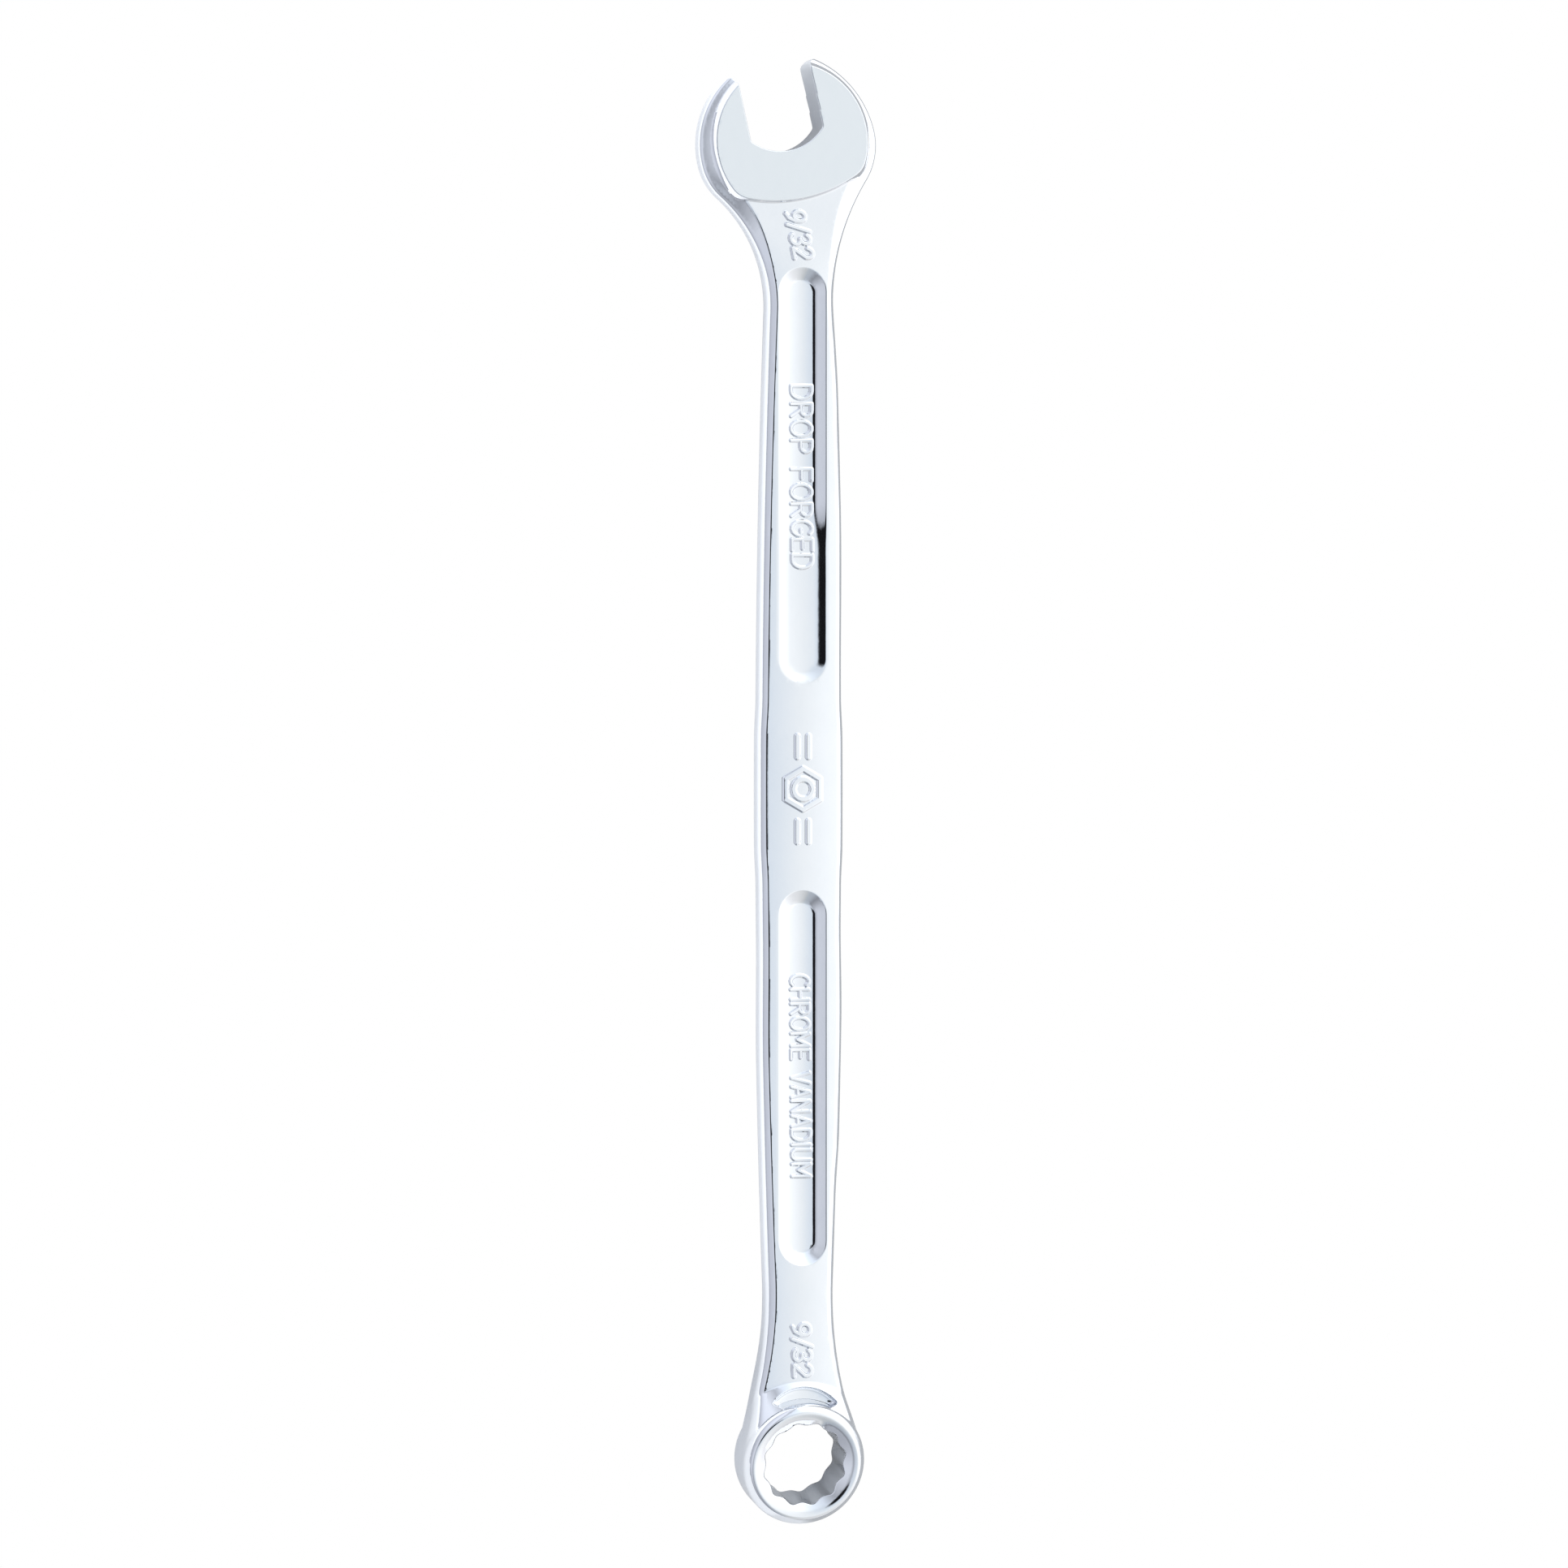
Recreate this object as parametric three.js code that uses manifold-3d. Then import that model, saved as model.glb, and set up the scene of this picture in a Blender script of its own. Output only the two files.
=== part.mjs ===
// Combination wrench for 9/32 inch nuts: an open jaw at the +Y end, a tilted 12-point ring at the
// -Y end and a slim shank between them. Millimetres. The wrench lies with its long axis along Y and
// its marked face up, towards +Z.
//
// The forging is drawn in its own frame: X = 0 and Z = 0 are the centre lines of the shank, and Y = 0
// is half-way along it. At the end the whole group moves so that the origin is at the middle of the
// bottom of its bounding box.
import * as THREE from 'three';
import { mergeVertices } from 'three/addons/utils/BufferGeometryUtils.js';
import Module from 'manifold-3d';

// ---- Driving dimensions -------------------------------------------------------------------------

const acrossFlats = 7.25; // 9/32 inch (7.14) plus working clearance

// Shank
const shankThickness = 3.4;
const shankBand = 1.8; // upright part of each side, between the two bevels
const shankBevel = 0.66; // how far each bevel runs in from the side
const bellyHalfWidth = 4.12;
const neckHalfWidth = 3.28;
const boxNeck = -46.5; // narrowest place, where the flare of the box end starts
const jawNeck = 45.8; // where the flares of the open end start

// Grip channels, one pair in each face of the shank
const channelWidth = 4.6;
const channelDepth = 0.6;
const channels = [
  { from: 10.3, to: 50.0 },
  { from: -45.2, to: -9.4 },
];

// Open end
const headThickness = 3.8;
const headCentre = new THREE.Vector2(-1.1, 62);
const jawTilt = THREE.MathUtils.degToRad(12.5); // the jaw leans towards -X
const faceRadius = 7.45; // raised flat face, around the head's centre
const faceHeelRadius = 14.5;
const faceHeelFromCentre = 5.5;
const jawOffset = -0.35; // middle of the opening, across the jaw from the head's centre
const throatFromCentre = 0.8; // centre of the head down to the bottom of the throat
const throatRadius = 5;
const mouthRadius = 1; // rounding of the jaw tips
const mouthFromCentre = 6.3;

// Arcs of the head's outer side, upwards from the neck: [radius, turn in degrees]. The first one is
// the hollow flare; the others go round the outside of the jaw.
const leftSideArcs = [[13.6, 51], [5.8, 34], [8.6, 95]];
const rightSideArcs = [[22.6, 33.5], [6.4, 47], [9.8, 62]];

// Box end
const ringCentre = new THREE.Vector3(0.05, -63.6, 0);
const ringTilt = THREE.MathUtils.degToRad(12.5); // the ring's tip leans away from the marked face
const rimRadius = 5.95;
const rimHeight = 3.9; // upright outer wall of the ring
const crestRadius = 5.04;
const ringThickness = 5.5; // over the two rounded crests
const pointRadius = 4.12; // centre to the bottom of each of the 12 points
const ridgeRadius = acrossFlats / 2 + 0.12; // centre to the rounded ridge between two points
const holeChamfer = 0.35;
const collarWidth = 1.7; // the 45-degree cone between the rim and the shank's face
const rimStep = 0.12; // upright edge of the rim that stands above the cone

// Half-moon pocket in the collar
const pocketHalfLength = 3.25;
const pocketRise = 1.5;
const pocketHeel = -58.3;
const pocketFloor = 1.45;

// The necks where the three regions meet
const jawEndPlane = 52;
const boxEndPlane = -49;

// Radius of the long arc of the shank's sides, and its lean off the long axis at the two necks
const sideSag = bellyHalfWidth - neckHalfWidth;
const sideRadius = (boxNeck ** 2 + sideSag ** 2) / (2 * sideSag);
const boxNeckLean = Math.asin(-boxNeck / sideRadius);
const jawNeckLean = Math.asin(jawNeck / sideRadius);

// From the shank's centre lines to the middle of the bottom of the bounding box
const toOrigin = new THREE.Vector3(1.251, -0.08, 3.7757);

const shortestEdge = 0.004; // slivers thinner than this are closed up

const chromeColour = 0xdfe4e8;

// ---- Solids ---------------------------------------------------------------------------------------

const wasm = await Module();
wasm.setup();

/** A closed three.js geometry as a solid that can be cut and joined. */
function solid(geometry) {
  const bare = new THREE.BufferGeometry();
  bare.setAttribute('position', geometry.getAttribute('position'));
  if (geometry.index) bare.setIndex(geometry.index);
  const merged = mergeVertices(bare, 1e-4);
  const vertProperties = new Float32Array(merged.getAttribute('position').array);
  const triVerts = new Uint32Array(merged.index.array);
  return new wasm.Manifold(new wasm.Mesh({ numProp: 3, vertProperties, triVerts }));
}

/** A solid back as a three.js geometry. */
function geometryOf(body) {
  const mesh = body.getMesh();
  const geometry = new THREE.BufferGeometry();
  geometry.setAttribute('position', new THREE.BufferAttribute(mesh.vertProperties, 3));
  geometry.setIndex(new THREE.BufferAttribute(mesh.triVerts, 1));
  geometry.computeVertexNormals();
  return geometry;
}

/** A flat outline made into a plate centred on Z = 0, with a bevel of the given size at each face. */
function plate(points, thickness, band = thickness, bevelSize = 0) {
  const bevelThickness = (thickness - band) / 2;
  const geometry = new THREE.ExtrudeGeometry(new THREE.Shape(points), {
    depth: band,
    bevelEnabled: bevelThickness > 0,
    bevelThickness,
    bevelSize,
    bevelOffset: -bevelSize,
    bevelSegments: 1,
  });
  geometry.translate(0, 0, -band / 2);
  return solid(geometry);
}

/** A block with square corners, from one corner to the other. */
function block(low, high) {
  const geometry = new THREE.BoxGeometry(high.x - low.x, high.y - low.y, high.z - low.z);
  geometry.translate((low.x + high.x) / 2, (low.y + high.y) / 2, (low.z + high.z) / 2);
  return solid(geometry);
}

/** Moves a geometry that was drawn around the ring's own axis into the forging's frame. */
function alongRing(geometry) {
  geometry.rotateX(ringTilt);
  geometry.translate(ringCentre.x, ringCentre.y, ringCentre.z);
  return geometry;
}

// ---- Outlines ---------------------------------------------------------------------------------------

/** Points of an arc around a centre; angles in radians. */
function arc(centre, radius, from, to, steps) {
  const points = [];
  for (let k = 0; k <= steps; k += 1) {
    const angle = from + ((to - from) * k) / steps;
    const x = centre.x + radius * Math.cos(angle);
    const y = centre.y + radius * Math.sin(angle);
    points.push(new THREE.Vector2(x, y));
  }
  return points;
}

/**
 * Points of arcs that follow each other smoothly from a start. The first arc turns outwards, the rest
 * turn back in. side is -1 for the left (-X) side and 1 for the right side.
 */
function sideChain(start, arcs, side) {
  const points = [];
  let place = start.clone();
  let heading = Math.PI / 2 + side * jawNeckLean;
  arcs.forEach(([radius, degrees], index) => {
    const turn = THREE.MathUtils.degToRad(degrees) * side * (index === 0 ? -1 : 1);
    const bend = radius * Math.sign(turn);
    const centre = new THREE.Vector2(
      place.x - bend * Math.sin(heading),
      place.y + bend * Math.cos(heading),
    );
    const steps = Math.ceil(degrees / 5);
    for (let k = 1; k <= steps; k += 1) {
      const at = heading + (turn * k) / steps;
      points.push(new THREE.Vector2(
        centre.x + bend * Math.sin(at),
        centre.y - bend * Math.cos(at),
      ));
    }
    heading += turn;
    place = points[points.length - 1].clone();
  });
  return points;
}

/** The +X side of the shank: one long shallow arc from the box-end neck to the other neck. */
function shankSide() {
  const centre = new THREE.Vector2(bellyHalfWidth - sideRadius, 0);
  return arc(centre, sideRadius, -boxNeckLean, jawNeckLean, 20);
}

/**
 * The flare on the +X side, from the ring up to the box-end neck: the one arc that leaves the shank's
 * side smoothly at the neck and touches the ring's rim.
 */
function boxFlare() {
  const neck = new THREE.Vector2(neckHalfWidth, boxNeck);
  const outwards = new THREE.Vector2(Math.cos(boxNeckLean), -Math.sin(boxNeckLean));
  const fromRing = neck.clone().sub(new THREE.Vector2(0, ringCentre.y));
  const gap = fromRing.lengthSq() - rimRadius ** 2;
  const radius = gap / (2 * (rimRadius - fromRing.dot(outwards)));
  const centre = neck.clone().addScaledVector(outwards, radius);
  const toRing = Math.atan2(ringCentre.y - centre.y, -centre.x);
  return arc(centre, radius, toRing, -Math.PI - boxNeckLean, 10);
}

/** The whole outline except the jaw opening: the flat part of the ring end, both sides, the head. */
function forgingOutline() {
  const right = [...boxFlare(), ...shankSide().slice(1)];
  const neck = right[right.length - 1];
  const rightHead = sideChain(neck, rightSideArcs, 1);
  const leftHead = sideChain(new THREE.Vector2(-neck.x, neck.y), leftSideArcs, -1).reverse();
  const left = right.map((p) => new THREE.Vector2(-p.x, p.y)).reverse();
  const inRing = [
    new THREE.Vector2(-rimRadius + 0.4, ringCentre.y),
    new THREE.Vector2(rimRadius - 0.4, ringCentre.y),
  ];
  return [...inRing, ...right, ...rightHead, ...leftHead, ...left];
}

/** A point given across and along the jaw, as a point in the forging's frame. */
function inJaw(across, along) {
  const p = new THREE.Vector2(across, along);
  return p.rotateAround(new THREE.Vector2(), jawTilt).add(headCentre);
}

/** The raised flat face of the open end: a disc with a flatter heel, before the jaw is cut. */
function faceOutline() {
  const heelCentre = faceHeelRadius - faceHeelFromCentre;
  const cut = (faceRadius ** 2 - faceHeelRadius ** 2 + heelCentre ** 2) / (2 * heelCentre);
  const discFrom = Math.asin(cut / faceRadius);
  const heelHalf = Math.acos((heelCentre - cut) / faceHeelRadius);
  const origin = new THREE.Vector2(0, 0);
  const disc = arc(origin, faceRadius, discFrom, Math.PI - discFrom, 40);
  const heel = arc(
    new THREE.Vector2(0, heelCentre),
    faceHeelRadius,
    -Math.PI / 2 - heelHalf,
    -Math.PI / 2 + heelHalf,
    12,
  );
  return [...disc, ...heel.slice(1, -1)].map((p) => inJaw(p.x, p.y));
}

/** The jaw opening: a round throat, two parallel flats and a mouth that flares over the tips. */
function jawOutline() {
  const half = acrossFlats / 2;
  const throatCentre = throatRadius - throatFromCentre;
  const throatHalf = Math.asin(half / throatRadius);
  const throat = arc(
    new THREE.Vector2(0, throatCentre),
    throatRadius,
    -Math.PI / 2 - throatHalf,
    -Math.PI / 2 + throatHalf,
    12,
  );
  const tipCentre = new THREE.Vector2(half + mouthRadius, mouthFromCentre);
  const tip = arc(tipCentre, mouthRadius, Math.PI, Math.PI / 2, 5);
  const sideways = new THREE.Vector2(half + 4, mouthFromCentre + mouthRadius);
  const above = new THREE.Vector2(half + 4, mouthFromCentre + 5);
  const right = [...tip, sideways, above];
  const left = right.map((p) => new THREE.Vector2(-p.x, p.y)).reverse();
  return [...throat, ...right, ...left].map((p) => inJaw(p.x + jawOffset, p.y));
}

/** The 12-point hole: points and ridges that follow each other round the ring. */
function holeOutline() {
  const mean = (pointRadius + ridgeRadius) / 2;
  const wave = (pointRadius - ridgeRadius) / 2;
  const points = [];
  const steps = 96;
  for (let k = 0; k < steps; k += 1) {
    const angle = (2 * Math.PI * k) / steps;
    const radius = mean - wave * Math.cos(12 * angle);
    points.push(new THREE.Vector2(radius * Math.cos(angle), radius * Math.sin(angle)));
  }
  return points;
}

/** The half-moon pocket's outline. */
function pocketOutline() {
  const radius = (pocketHalfLength ** 2 + pocketRise ** 2) / (2 * pocketRise);
  const half = Math.asin(pocketHalfLength / radius);
  const centre = new THREE.Vector2(ringCentre.x, pocketHeel + pocketRise - radius);
  return arc(centre, radius, Math.PI / 2 - half, Math.PI / 2 + half, 14);
}

// ---- The forging ------------------------------------------------------------------------------------

/** The plate that runs through both heads and the shank. */
function beam() {
  return plate(forgingOutline(), shankThickness, shankBand, shankBevel);
}

/** The raised faces on both sides of the open end. */
function jawFaces() {
  return plate(faceOutline(), headThickness);
}

/** The ring with its upright wall, its rounded faces and the chamfer into the hole. */
function ring() {
  const face = ringThickness / 2;
  const rim = rimHeight / 2;
  const bore = pointRadius - 0.6;
  const crown = [
    [bore, face - holeChamfer * 2.2],
    [crestRadius - 0.55, face - 0.12],
    [crestRadius, face],
    [crestRadius + 0.5, face - 0.22],
    [rimRadius, rim],
  ];
  const profile = [
    ...crown.map(([r, z]) => new THREE.Vector2(r, z)).reverse(),
    ...crown.map(([r, z]) => new THREE.Vector2(r, -z)),
  ];
  profile.push(profile[0].clone());
  const geometry = new THREE.LatheGeometry(profile, 72);
  geometry.rotateX(Math.PI / 2);
  return solid(alongRing(geometry));
}

/** The cone between the ring's front rim and the shank's face, kept inside the plan outline. */
function collar() {
  const top = rimHeight / 2 - rimStep;
  const inside = 0.3;
  const profile = [
    new THREE.Vector2(0, top - collarWidth),
    new THREE.Vector2(rimRadius + collarWidth, top - collarWidth),
    new THREE.Vector2(rimRadius - inside, top + inside),
    new THREE.Vector2(0, top + inside),
  ];
  const geometry = new THREE.LatheGeometry(profile, 72);
  geometry.rotateX(Math.PI / 2);
  const cone = solid(alongRing(geometry));
  return cone.intersect(plate(forgingOutline(), 4 * shankThickness));
}

/** One grip channel: a long round-ended scoop with a hollow floor. */
function channel({ from, to }, face) {
  const radius = ((channelWidth / 2) ** 2 + channelDepth ** 2) / (2 * channelDepth);
  const reach = (channelWidth / 2) * 1.02;
  const length = to - from - 2 * reach;
  const geometry = new THREE.CapsuleGeometry(radius, length, 10, 40);
  const z = face * (shankThickness / 2 + radius - channelDepth);
  geometry.translate(0, (from + to) / 2, z);
  return solid(geometry);
}

/** The 12-point hole through the ring. */
function hole() {
  const geometry = new THREE.ExtrudeGeometry(new THREE.Shape(holeOutline()), {
    depth: 4 * ringThickness,
    bevelEnabled: false,
  });
  geometry.translate(0, 0, -2 * ringThickness);
  return solid(alongRing(geometry));
}

/** The half-moon pocket, open upwards. */
function pocket() {
  const geometry = new THREE.ExtrudeGeometry(new THREE.Shape(pocketOutline()), {
    depth: 2 * shankThickness,
    bevelEnabled: false,
  });
  geometry.translate(0, 0, pocketFloor);
  return solid(geometry);
}

let forging = beam().add(jawFaces()).add(collar()).subtract(pocket()).add(ring());
forging = forging.subtract(plate(jawOutline(), 4 * headThickness)).subtract(hole());
channels.forEach((run) => {
  [-1, 1].forEach((face) => {
    forging = forging.subtract(channel(run, face));
  });
});

// ---- The three named regions --------------------------------------------------------------------------

const far = 100;
const regions = [
  { name: 'box_end_head', from: -far, to: boxEndPlane },
  { name: 'shank', from: boxEndPlane, to: jawEndPlane },
  { name: 'open_end_head', from: jawEndPlane, to: far },
];

const wrench = new THREE.Group();
regions.forEach(({ name, from, to }) => {
  const span = block(new THREE.Vector3(-far, from, -far), new THREE.Vector3(far, to, far));
  const material = new THREE.MeshStandardMaterial({
    color: chromeColour,
    roughness: 0.12,
    metalness: 1,
  });
  const mesh = new THREE.Mesh(geometryOf(forging.intersect(span).simplify(shortestEdge)), material);
  mesh.name = name;
  wrench.add(mesh);
});
wrench.position.copy(toOrigin);

export default wrench;
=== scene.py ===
"""Looks of the combination wrench: one seamless chrome forging over the three CAD regions.

All shape sizes below are in millimetres in the forging's own frame: X = 0 and Z = 0 are the centre
lines of the shank, Y = 0 is half-way along it, and the marked face is +Z. The mesh is moved into the
CAD's frame, in metres, at the end.
"""
import math

import bpy
import numpy as np
from mathutils import Matrix, Vector


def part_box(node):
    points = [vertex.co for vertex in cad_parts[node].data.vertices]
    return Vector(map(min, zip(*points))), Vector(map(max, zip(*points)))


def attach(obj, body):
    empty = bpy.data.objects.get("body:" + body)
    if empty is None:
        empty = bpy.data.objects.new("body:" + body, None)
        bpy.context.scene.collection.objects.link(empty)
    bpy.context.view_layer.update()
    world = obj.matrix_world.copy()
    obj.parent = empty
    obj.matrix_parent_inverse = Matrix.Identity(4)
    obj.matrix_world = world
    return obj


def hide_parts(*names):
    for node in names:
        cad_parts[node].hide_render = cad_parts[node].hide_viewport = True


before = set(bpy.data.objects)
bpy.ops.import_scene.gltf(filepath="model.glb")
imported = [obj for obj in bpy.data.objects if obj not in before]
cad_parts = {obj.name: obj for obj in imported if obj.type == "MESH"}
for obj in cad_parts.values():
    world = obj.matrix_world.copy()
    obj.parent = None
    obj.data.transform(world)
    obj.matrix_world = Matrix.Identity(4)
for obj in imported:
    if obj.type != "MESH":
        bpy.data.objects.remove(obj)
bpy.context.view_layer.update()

# ---- Sizes --------------------------------------------------------------------------------------

ACROSS_FLATS = 7.25

# Shank
BELLY_HALF = 4.12
BELLY_PAD = 0.13  # the sides stand out this much more at the middle
FULLER_RIGHT_JAW = 0.24  # the +X side between the middle and the open end
FULLER_RIGHT_RING = 0.20  # the +X side between the middle and the ring
FULLER_LEFT_RING = 0.17
NECK_HALF = 3.28
BOX_NECK = 46.5
JAW_NECK = 45.8
BOX_END_PLANE = -49.0  # the CAD's shank region starts here
SHANK_TOP = 1.70
CAMBER_RADIUS = 30.0  # the faces are slightly round across
BACK_DROP = 0.10  # the unmarked face is lower near the ring
BAND_HALF = 0.90  # half height of the upright band along the sides
BAND_DEEPENS = 0.75  # and how much deeper it gets on the unmarked side towards the ring
BEVEL_CLIMB = 0.909  # rise of the bevels for each mm inwards
SIDE_ROUNDING = 0.42  # between the band and the bevels
END_INSET = 0.12  # the beam is this much narrower where it ends in the ring's wall

# Grip channels: from and to along Y; a section is the wall's slope, the floor's depth and its bow
JAW_CHANNEL = (10.3, 50.0)
RING_CHANNEL = (-45.2, -9.4)
CHANNEL_HALF = 2.35
CHANNEL_FLOOR_HALF = 1.35
DEEP_SECTION = (0.62, 0.62, 0.14)
SHALLOW_SECTION = (0.32, 0.27, 0.07)  # the middle's end of the jaw-side channel, on the marked face

# Open end
HEAD_CENTRE = (-1.1, 62.0)
HEAD_TOP = 1.60  # around the raised faces
HEAD_BAND_HALF = 0.85
HEAD_BEVEL_CLIMB = 0.37
HEAD_BEVEL_HOLLOW = 0.07
JAW_TILT = math.radians(12.5)
JAW_OFFSET = -0.35
JAW_TIP = 7.25  # the tips, along the jaw from the head's centre
TIP_ROUNDING = 1.0
THROAT_CENTRE = 4.2
THROAT_RADIUS = 5.0
BITE_DEPTH = 0.07  # of the two steps in the +X jaw flat
BITES = ((2.24, 1.6), (3.82, 2.6))  # where each step starts along the jaw, and the length it fades over
FACE_RADIUS = 7.45
FACE_TOP = 1.9
FACE_DRAFT = 0.6
FACE_FOOT = 0.35  # how far the foot of the raised face stands out
HEEL_CENTRE = 9.0
HEEL_RADIUS = 14.5
LEFT_ARCS = ((13.6, 51), (5.8, 34), (8.6, 110))  # radius and degrees, upwards from the neck
RIGHT_ARCS = ((22.6, 33.5), (6.4, 47), (9.8, 80))

# Box end
RING_CENTRE = (0.05, -63.6, 0.0)
RING_TILT = math.radians(12.5)
RING_HALF = 2.75  # half thickness over the two crests
RIM_RADIUS = 5.95
RIM_HALF = 1.95
WALL_SHIFT = (0.08, -0.12)  # the outer wall is not quite centred on the hole
WALL_PAD = 0.05
RIM_BEVEL = (0.63, 0.50)  # outwards and upwards share of the direction that this cone faces
FUNNEL = (0.47, 0.76)  # inwards and upwards share
FUNNEL_RADIUS = 4.82
COLLAR = (0.740, 0.673)  # outwards and upwards share
COLLAR_TOP = 1.83
COLLAR_ROUNDING = 0.9
INSIDE_WALL = 5.85  # the beam stops here, out of the hole, and further in on the unmarked side
INSIDE_WALL_BACK = 5.2
RING_MIDDLE = -63.2

# Half-moon pocket over the ring: Y of the centre and radius of its two arcs
POCKET_OUTER = (-60.94, 4.2)
POCKET_INNER = (-52.08, 7.0)
POCKET_FLOOR = 1.35
POCKET_BOW = 0.020

VIEW_TILT = math.radians(15.5)  # the camera stands to the -X side of straight above


# ---- Smooth shape arithmetic --------------------------------------------------------------------

def smax(a, b, k):
    """The larger of two fields, with the corner between them rounded over a width k."""
    h = np.maximum(k - np.abs(a - b), 0.0) / k
    return np.maximum(a, b) + h * h * k * 0.25


def smin(a, b, k):
    """The smaller of two fields, rounded in the same way."""
    return -smax(-a, -b, k)


def step(low, high, v):
    """Goes smoothly from 0 to 1 as v goes from low to high."""
    t = np.clip((v - low) / (high - low), 0.0, 1.0)
    return t * t * (3.0 - 2.0 * t)


def mix(a, b, t):
    """Goes from a to b as t goes from 0 to 1."""
    return a + (b - a) * t


# ---- Plan outline: arcs that follow each other smoothly -------------------------------------------

def outline_chain(side):
    """One side of the plan outline as arcs (centre x, centre y, radius, bulges out, middle, half turn).

    side is 1 for +X and -1 for -X.
    """
    sag = BELLY_HALF - NECK_HALF
    long_radius = (BOX_NECK ** 2 + sag ** 2) / (2 * sag)
    lean_box = math.asin(BOX_NECK / long_radius)
    lean_jaw = math.asin(JAW_NECK / long_radius)
    centre = BELLY_HALF - long_radius
    arcs = []

    def add(cx, cy, radius, convex, a, b):
        middle = (a + b) / 2
        towards = (math.cos(middle) * side, math.sin(middle))
        arcs.append((cx * side, cy, radius, convex, *towards, abs(b - a) / 2))

    # ring rim, flare and the long side, drawn for +X and mirrored by add()
    outwards = (math.cos(lean_box), -math.sin(lean_box))
    rx, ry = NECK_HALF - RING_CENTRE[0] * side, -BOX_NECK - RING_CENTRE[1]
    gap = rx * rx + ry * ry - RIM_RADIUS ** 2
    flare = gap / (2 * (RIM_RADIUS - (rx * outwards[0] + ry * outwards[1])))
    fx, fy = NECK_HALF + outwards[0] * flare, -BOX_NECK + outwards[1] * flare
    touch = math.atan2(RING_CENTRE[1] - fy, RING_CENTRE[0] * side - fx)
    add(RING_CENTRE[0] * side, RING_CENTRE[1], RIM_RADIUS, True, touch + math.pi, -math.pi / 2 - 0.6)
    add(fx, fy, flare, False, touch, -math.pi - lean_box)
    add(centre, 0.0, long_radius, True, -lean_box, lean_jaw)

    # head
    x, y = centre + long_radius * math.cos(lean_jaw), long_radius * math.sin(lean_jaw)
    heading = math.pi / 2 + lean_jaw
    for index, (radius, degrees) in enumerate(RIGHT_ARCS if side > 0 else LEFT_ARCS):
        turn = math.radians(degrees) * (-1 if index == 0 else 1)
        bend = math.copysign(radius, turn)
        cx, cy = x - bend * math.sin(heading), y + bend * math.cos(heading)
        start = heading - math.copysign(math.pi / 2, turn)
        add(cx, cy, radius, index > 0, start, start + turn)
        heading += turn
        x, y = cx + bend * math.sin(heading), cy - bend * math.cos(heading)
    return arcs


CHAINS = {side: outline_chain(side) for side in (1, -1)}


def chain_distance(x, y, arcs):
    """Signed distance to the nearest arc of a chain: negative inside the outline."""
    best = np.full(np.broadcast(x, y).shape, -50.0)
    for cx, cy, radius, convex, mx, my, half in arcs:
        dx, dy = x - cx, y - cy
        reach = np.hypot(dx, dy)
        away = reach - radius if convex else radius - reach
        inside = dx * mx + dy * my >= reach * math.cos(half) - 1e-6
        best = np.where(inside & (np.abs(away) < np.abs(best)), away, best)
    return best


def plan_distance(x, y):
    """Signed distance to the plan outline without the jaw opening: negative inside."""
    middle = np.minimum(0.0, HEAD_CENTRE[0] + JAW_OFFSET - math.tan(JAW_TILT) * (y - HEAD_CENTRE[1]))
    right = chain_distance(x, y, CHAINS[1])
    left = chain_distance(x, y, CHAINS[-1])
    belly = BELLY_PAD * (1.0 - step(5.0, 9.0, np.abs(y)))
    fuller_right = (FULLER_RIGHT_JAW * step(9.0, 27.0, y) * step(-48.0, -38.0, -y)
                    + FULLER_RIGHT_RING * step(12.0, 22.0, -y) * step(-39.0, -32.0, y))
    fuller_left = FULLER_LEFT_RING * step(14.0, 26.0, -y) * step(-62.0, -56.0, y)
    return np.where(x > middle, right - fuller_right, left - fuller_left) - belly


# ---- Raised marks ---------------------------------------------------------------------------------

def curve(cx, cy, rx, ry, start, stop, steps=8):
    """Points along part of an ellipse; angles in degrees, anticlockwise."""
    angles = np.radians(np.linspace(start, stop, steps + 1))
    return [(cx + rx * math.cos(a), cy + ry * math.sin(a)) for a in angles]


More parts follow.
